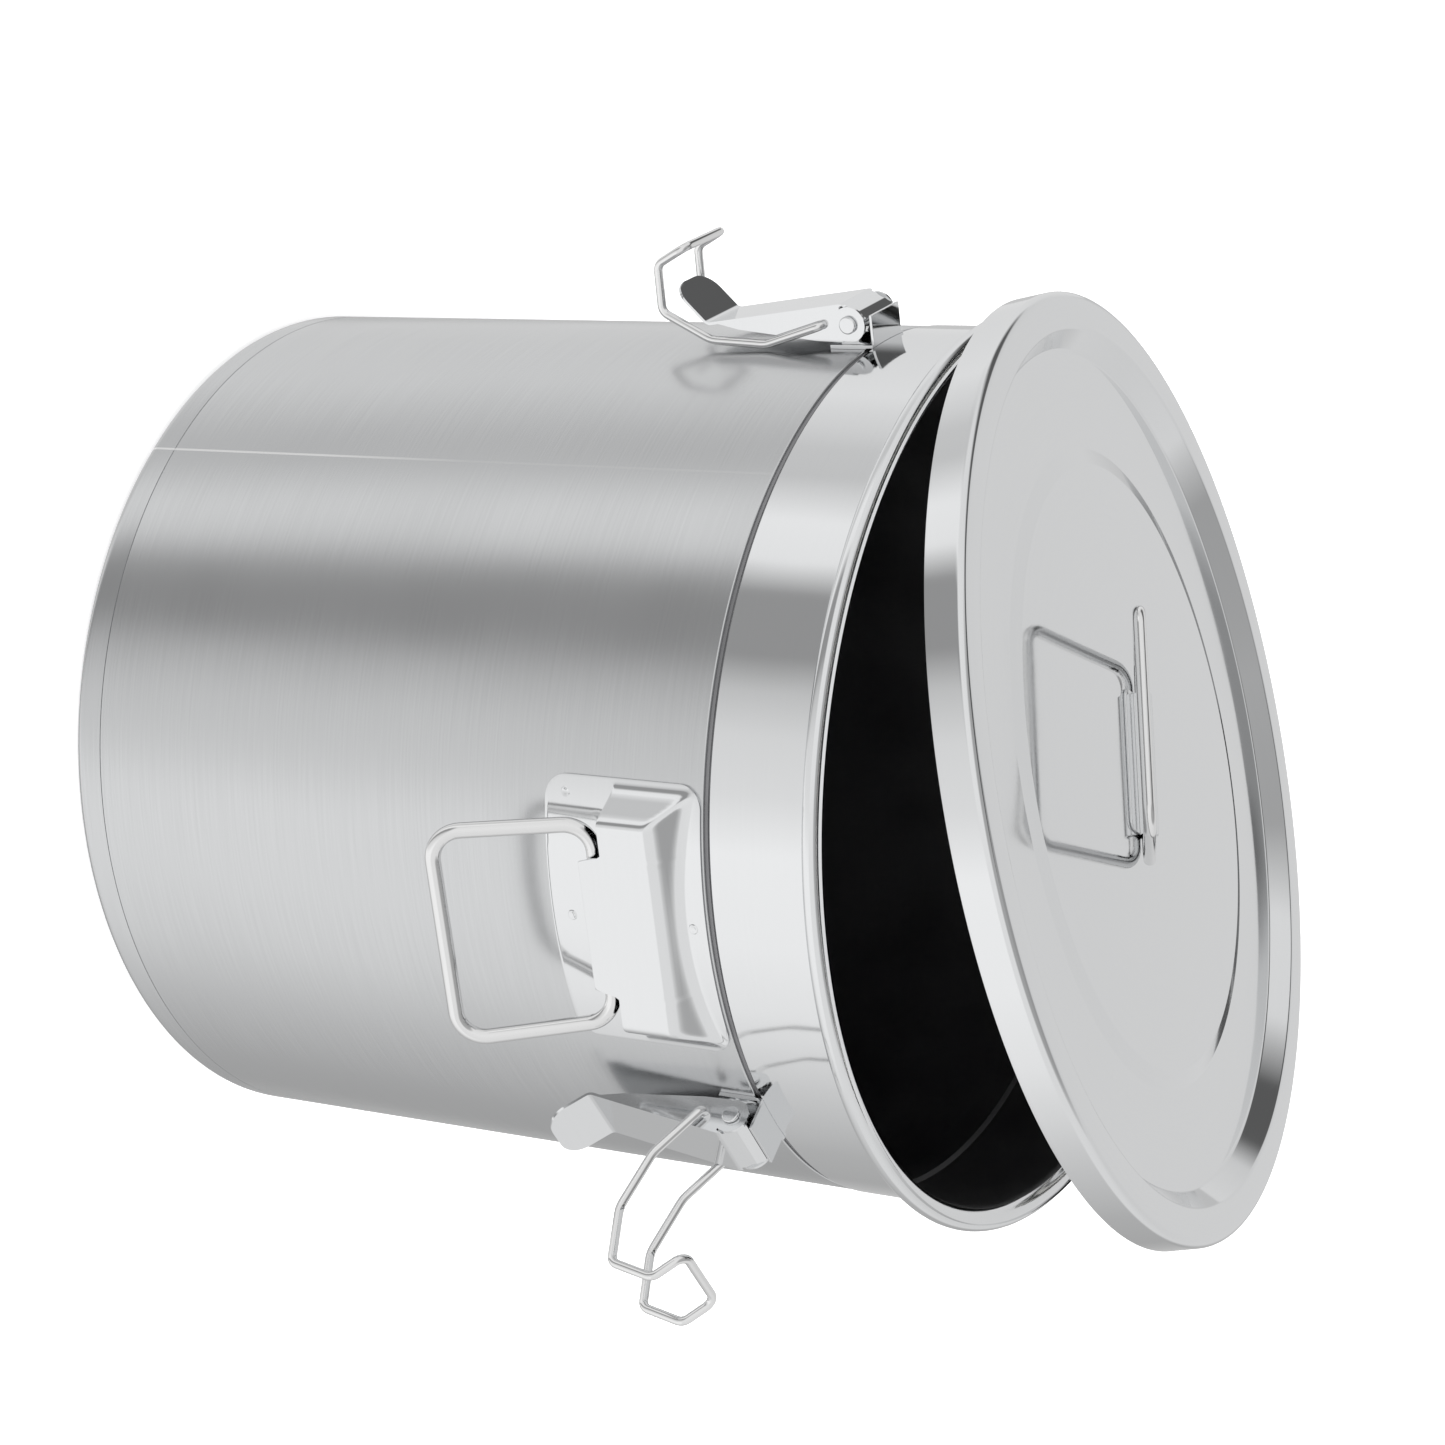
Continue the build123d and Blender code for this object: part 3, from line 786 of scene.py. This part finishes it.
def pressed_sheet(name, sizes, low, high, raised):
    """Half of the plate: the flat strip below the cut, or the raised part above it."""
    columns, rows = 108, 48 if raised else 20
    half = high.y
    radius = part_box("body_shell")[1].x + sizes.plate_sheet
    begin()
    bpy.ops.mesh.primitive_grid_add(x_subdivisions=columns, y_subdivisions=rows, size=2)
    sheet = bpy.context.object
    sheet.name = name
    bpy.ops.object.mode_set(mode="EDIT")
    mesh = bmesh.from_edit_mesh(sheet.data)
    places = {}
    for vertex in mesh.verts:
        across = vertex.co.x * half
        share = (vertex.co.y + 1) / 2
        beyond = min(max((abs(across) - sizes.tongue_half) / sizes.notch_run + 0.5, 0), 1)
        step = beyond * beyond * (3 - 2 * beyond)
        cut = sizes.tongue_bottom + (sizes.notch_bottom - sizes.tongue_bottom) * step
        up = cut + (high.z - cut) * share if raised else low.z + (cut - low.z) * share
        places[vertex] = (across, up)
    outside = {}
    for vertex, (across, up) in places.items():
        corner = Vector((half - sizes.plate_corner, 0))
        corner.y = high.z - sizes.plate_corner if raised else low.z + sizes.plate_corner
        way = Vector((abs(across), up)) - corner
        past = way.x > 0 and (way.y > 0) == raised and way.length > sizes.plate_corner + 1e-6
        if past:
            way = corner + way.normalized() * sizes.plate_corner
            outside[vertex] = (math.copysign(way.x, across), way.y)
    spare = [f for f in mesh.faces if all(v in outside for v in f.verts)]
    bmesh.ops.delete(mesh, geom=spare, context="FACES")
    for vertex in mesh.verts:
        across, up = outside.get(vertex, places[vertex])
        vertex.co = (plate_surface(sizes, radius, high.x, across, up, raised), across, up)
    bmesh.update_edit_mesh(sheet.data)
    bpy.ops.object.mode_set(mode="OBJECT")
    return sheet


def spot_weld(radius, rise):
    """A weld's small ring with its dimple, drawn lying at the origin, its foot sunk in the sheet."""
    outline = ((0, 0.3), (0.45, 0.2), (0.65, 1), (0.85, 1), (1, 0), (1, -1.15), (0, -1.15))
    line = [Vector((share * radius, level * rise)) for share, level in outline]
    return turned("spot_weld", line, 32, closed=False)


def joined(pieces):
    """Makes one piece of several."""
    begin()
    for piece in pieces:
        piece.select_set(True)
    bpy.context.view_layer.objects.active = pieces[0]
    bpy.ops.object.join()
    return pieces[0]


def handle_plate(sizes):
    """The plate at azimuth 0: a curved sheet lanced and pressed out over the hinge bar."""
    low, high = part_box("handle_plate_a")
    sheets = [pressed_sheet("plate_sheet", sizes, low, high, raised) for raised in (True, False)]
    plate = joined(sheets)
    plate.select_set(True)
    bpy.ops.object.mode_set(mode="EDIT")
    bpy.ops.mesh.select_all(action="SELECT")
    bpy.ops.mesh.remove_doubles(threshold=0.00012)
    bpy.ops.object.mode_set(mode="OBJECT")
    thick = plate.modifiers.new("thickness", "SOLIDIFY")
    thick.thickness = sizes.plate_sheet
    thick.offset = -1
    thick.use_even_offset = True
    bpy.ops.object.modifier_apply(modifier=thick.name)
    edge = plate.modifiers.new("edge", "BEVEL")
    edge.width = sizes.plate_edge
    edge.segments = 2
    edge.limit_method = "ANGLE"
    edge.angle_limit = math.radians(60)
    bpy.ops.object.modifier_apply(modifier=edge.name)
    bpy.ops.object.shade_smooth_by_angle(angle=math.radians(40))
    welds = []
    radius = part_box("body_shell")[1].x + sizes.plate_sheet
    facing_out = Matrix.Rotation(math.pi / 2, 4, "Y")
    for level in (low.z + sizes.weld_low, high.z - sizes.weld_high):
        for azimuth in (-sizes.weld_spread, 0, sizes.weld_spread):
            at = round_z(azimuth) @ Matrix.Translation((radius, 0, level)) @ facing_out
            welds.append(placed(spot_weld(sizes.weld_radius, sizes.weld_rise), at))
    return joined([plate, *welds])


class MILK_CAN_OT_drop_handles(bpy.types.Operator):
    """Adds the two drop handles and the pressed plates that hold them"""

    bl_idname = "milk_can.drop_handles"
    bl_label = "Drop handles"

    def execute(self, context):
        sizes = context.scene.milk_can_handles
        wire, steel = bright_drawn_wire(), polished_steel("buffed_stainless_plate")
        sheared = dull_steel_and_painted_shade("sheared_stainless_edge", context.scene.milk_can_finish.sheared)
        for side in ("a", "b"):
            joint = f"drop_handle_{side}_swing"
            pivot = Vector(JOINTS[joint]["pos_m"])
            radius, height = pivot.xy.length, pivot.z
            loop = bent_wire(
                f"drop_handle_loop_{side}",
                (
                    (radius, sizes.drop_hinge_half, height),
                    (radius, sizes.drop_grip_half, height - sizes.drop_depth),
                    (radius, -sizes.drop_grip_half, height - sizes.drop_depth),
                    (radius, -sizes.drop_hinge_half, height),
                ),
                sizes.drop_wire,
                [sizes.drop_bend] * 4,
                closed=True,
            )
            placed(loop, at_rest(joint) @ round_z(joint_azimuth(joint)))
            finish_piece(loop, f"drop_handle_{side}", "wire_steel", wire, f"drop_handle_{side}")
            plate = placed(handle_plate(sizes), round_z(joint_azimuth(joint)))
            plate.name = f"pressed_handle_plate_{side}"
            finish_piece(plate, "can", "polished_steel", steel, f"handle_plate_{side}")
            plate.data.materials.append(sheared)
            for face in plate.data.polygons:
                cut = sizes.tongue_bottom - 0.001 < face.center.z < sizes.notch_bottom + 0.001
                face.material_index = int(cut and face.normal.z < -0.5)
        return {"FINISHED"}


def bail_route(context):
    """Corners of a bail at azimuth 0, lying on the drum: from one turned-in end round to the other."""
    sizes = context.scene.milk_can_bails
    pivot = Vector(JOINTS["bail_1_swing"]["pos_m"])
    here = Vector((pivot.xy.length, pivot.z))
    heading = sizes.start
    side = [here]
    for run, turn in zip(sizes.runs, sizes.turns):
        heading += math.radians(turn)
        here = here + run * Vector((math.cos(heading), math.sin(heading)))
        side.append(here)
    route = [Vector((side[0].x, sizes.stub_end, side[0].y))]
    route += [Vector((point.x, sizes.half_width, point.y)) for point in side]
    return route + [Vector((point.x, -point.y, point.z)) for point in reversed(route)]


class MILK_CAN_OT_latches(bpy.types.Operator):
    """Adds the three latches: bracket, rivet, lever and wire bail"""

    bl_idname = "milk_can.latches"
    bl_label = "Latches"

    def execute(self, context):
        sizes = context.scene.milk_can_bails
        wire, steel = bright_drawn_wire(), polished_steel("buffed_stainless_latch")
        bends = [*sizes.bends, *reversed(sizes.bends)]
        for number in (1, 2, 3):
            for kind, body in (("bracket", "can"), ("rivet", "can"), ("lever", f"lever_{number}")):
                node = f"latch_{kind}_{number}"
                finish_piece(dressed(node), body, "polished_steel", steel, node)
            joint = f"bail_{number}_swing"
            bail = bent_wire(f"wire_bail_{number}", bail_route(context), sizes.wire, bends)
            placed(bail, at_rest(joint) @ round_z(joint_azimuth(joint)))
            finish_piece(bail, f"bail_{number}", "wire_steel", wire, f"latch_bail_{number}")
        return {"FINISHED"}


# ---- stage -------------------------------------------------------------------------------


class MILK_CAN_OT_stage(bpy.types.Operator):
    """Adds the pale floor, the soft light and the camera"""

    bl_idname = "milk_can.stage"
    bl_label = "Stage"

    def execute(self, context):
        choices = context.scene.milk_can_stage
        begin()
        bpy.ops.mesh.primitive_plane_add(size=12, location=(0, 0, 0))
        floor = context.object
        floor.name = "pale_floor"
        material, tree, shader, where = new_material("matt_white_floor")
        grain = add(tree, "ShaderNodeTexNoise", {"Vector": where, "Scale": 400.0}).outputs["Fac"]
        bump = add(tree, "ShaderNodeBump", {"Height": grain, "Strength": 0.02, "Distance": 0.0002})
        tree.links.new(bump.outputs["Normal"], shader.inputs["Normal"])
        shader.inputs["Base Color"].default_value = linear(choices.floor)
        shader.inputs["Roughness"].default_value = 0.9
        shader.inputs["Specular IOR Level"].default_value = 0.1
        shader.inputs["Emission Color"].default_value = linear(choices.floor)
        shader.inputs["Emission Strength"].default_value = 0.45
        floor.data.materials.append(material)
        # The steel mirrors the soft surround instead of the floor, as on a glass table over light.
        floor.visible_glossy = False

        self.surround(context)
        for name, place, width, power in (
            ("overhead_softbox", (0.2, 0.3, 1.9), 1.6, 26.0),
            ("side_softbox", (1.6, 1.3, 1.4), 0.9, 12.0),
        ):
            light = bpy.data.objects.new(name, bpy.data.lights.new(name, "AREA"))
            light.data.size = width
            light.data.energy = power
            light.location = place
            light.rotation_euler = (Vector((0, 0, 0.25)) - Vector(place)).to_track_quat("-Z", "Y").to_euler()
            light.visible_glossy = False
            context.scene.collection.objects.link(light)

        lens = bpy.data.cameras.new("camera")
        lens.lens = choices.lens
        lens.sensor_width = 36
        camera = bpy.data.objects.new("camera", lens)
        camera.location = choices.camera_at
        camera.rotation_euler = choices.camera_turn
        context.scene.collection.objects.link(camera)
        context.scene.camera = camera
        context.scene.view_settings.view_transform = "Standard"
        return {"FINISHED"}

    def surround(self, context):
        """Soft light from all round, in upright bands as between the cards of a light tent."""
        world = bpy.data.worlds.new("light_tent")
        world.use_nodes = True
        tree = world.node_tree
        tree.nodes.clear()
        where = add(tree, "ShaderNodeTexCoord").outputs["Generated"]
        apart = add(tree, "ShaderNodeSeparateXYZ", {"Vector": where})
        turn = {"Value": compass(tree, apart), "From Min": -math.pi, "From Max": math.pi}
        part = add(tree, "ShaderNodeMapRange", turn)
        bands = add(tree, "ShaderNodeValToRGB", {"Fac": part.outputs["Result"]})
        self.band(
            bands,
            (
                (230, 0.92),
                (244, 0.80),
                (252, 0.70),
                (262, 0.68),
                (276, 1.02),
                (288, 0.98),
                (297, 0.36),
                (314, 0.36),
                (323, 0.66),
                (335, 0.84),
                (350, 0.90),
                (5, 1.08),
                (30, 1.06),
                (50, 0.98),
                (75, 0.74),
                (105, 0.52),
                (125, 0.45),
                (150, 0.60),
                (190, 0.80),
            ),
        )
        upper_bands = add(tree, "ShaderNodeValToRGB", {"Fac": part.outputs["Result"]})
        self.band(
            upper_bands,
            (
                (100, 0.84),
                (130, 0.76),
                (185, 0.76),
                (198, 0.74),
                (206, 0.12),
                (222, 0.12),
                (236, 0.85),
                (337, 0.95),
                (20, 0.90),
            ),
        )
        height = add(tree, "ShaderNodeValToRGB", {"Fac": apart.outputs["Z"]})
        ramp(height, ((0.0, 1.0), (0.76, 1.0), (0.88, 0.5), (1.0, 0.5)))
        above = add(
            tree,
            "ShaderNodeMix",
            {0: 1.0, 6: upper_bands.outputs["Color"], 7: height.outputs["Color"]},
            data_type="RGBA",
            blend_type="MULTIPLY",
        )
        rising = {"Value": apart.outputs["Z"], "From Min": -0.06, "From Max": 0.12}
        upper = add(tree, "ShaderNodeMapRange", rising)
        mixed = add(
            tree,
            "ShaderNodeMix",
            {0: upper.outputs["Result"], 6: bands.outputs["Color"], 7: above.outputs[2]},
            data_type="RGBA",
        )
        light = add(tree, "ShaderNodeBackground", {"Color": mixed.outputs[2], "Strength": 1.0})
        add(tree, "ShaderNodeOutputWorld", {"Surface": light.outputs[0]})
        context.scene.world = world

    def band(self, node, lights):
        """Sets a ramp round the compass from pairs of azimuth and brightness."""
        node.color_ramp.interpolation = "LINEAR"
        ramp(node, sorted(((azimuth + 180) % 360 / 360, light) for azimuth, light in lights))


class MILK_CAN_PT_panel(bpy.types.Panel):
    """Lists the pieces of the milk can"""

    bl_idname = "MILK_CAN_PT_panel"
    bl_label = "Milk can"
    bl_space_type = "VIEW_3D"
    bl_region_type = "UI"
    bl_category = "Milk can"

    def draw(self, context):
        for operator in OPERATORS:
            self.layout.operator(operator.bl_idname)
        for group, kind in GROUPS.items():
            box = self.layout.box()
            for name in kind.__annotations__:
                box.prop(getattr(context.scene, group), name)


OPERATORS = (
    MILK_CAN_OT_stage,
    MILK_CAN_OT_drum,
    MILK_CAN_OT_neck,
    MILK_CAN_OT_lid,
    MILK_CAN_OT_lid_handle,
    MILK_CAN_OT_drop_handles,
    MILK_CAN_OT_latches,
)


def register():
    for kind in (*GROUPS.values(), *OPERATORS, MILK_CAN_PT_panel):
        bpy.utils.register_class(kind)
    for group, kind in GROUPS.items():
        setattr(bpy.types.Scene, group, bpy.props.PointerProperty(type=kind))


def unregister():
    for group in GROUPS:
        delattr(bpy.types.Scene, group)
    for kind in reversed((*GROUPS.values(), *OPERATORS, MILK_CAN_PT_panel)):
        bpy.utils.unregister_class(kind)


def main():
    register()
    for operator in OPERATORS:
        family, name = operator.bl_idname.split(".")
        getattr(getattr(bpy.ops, family), name)()


if __name__ == "__main__":
    main()
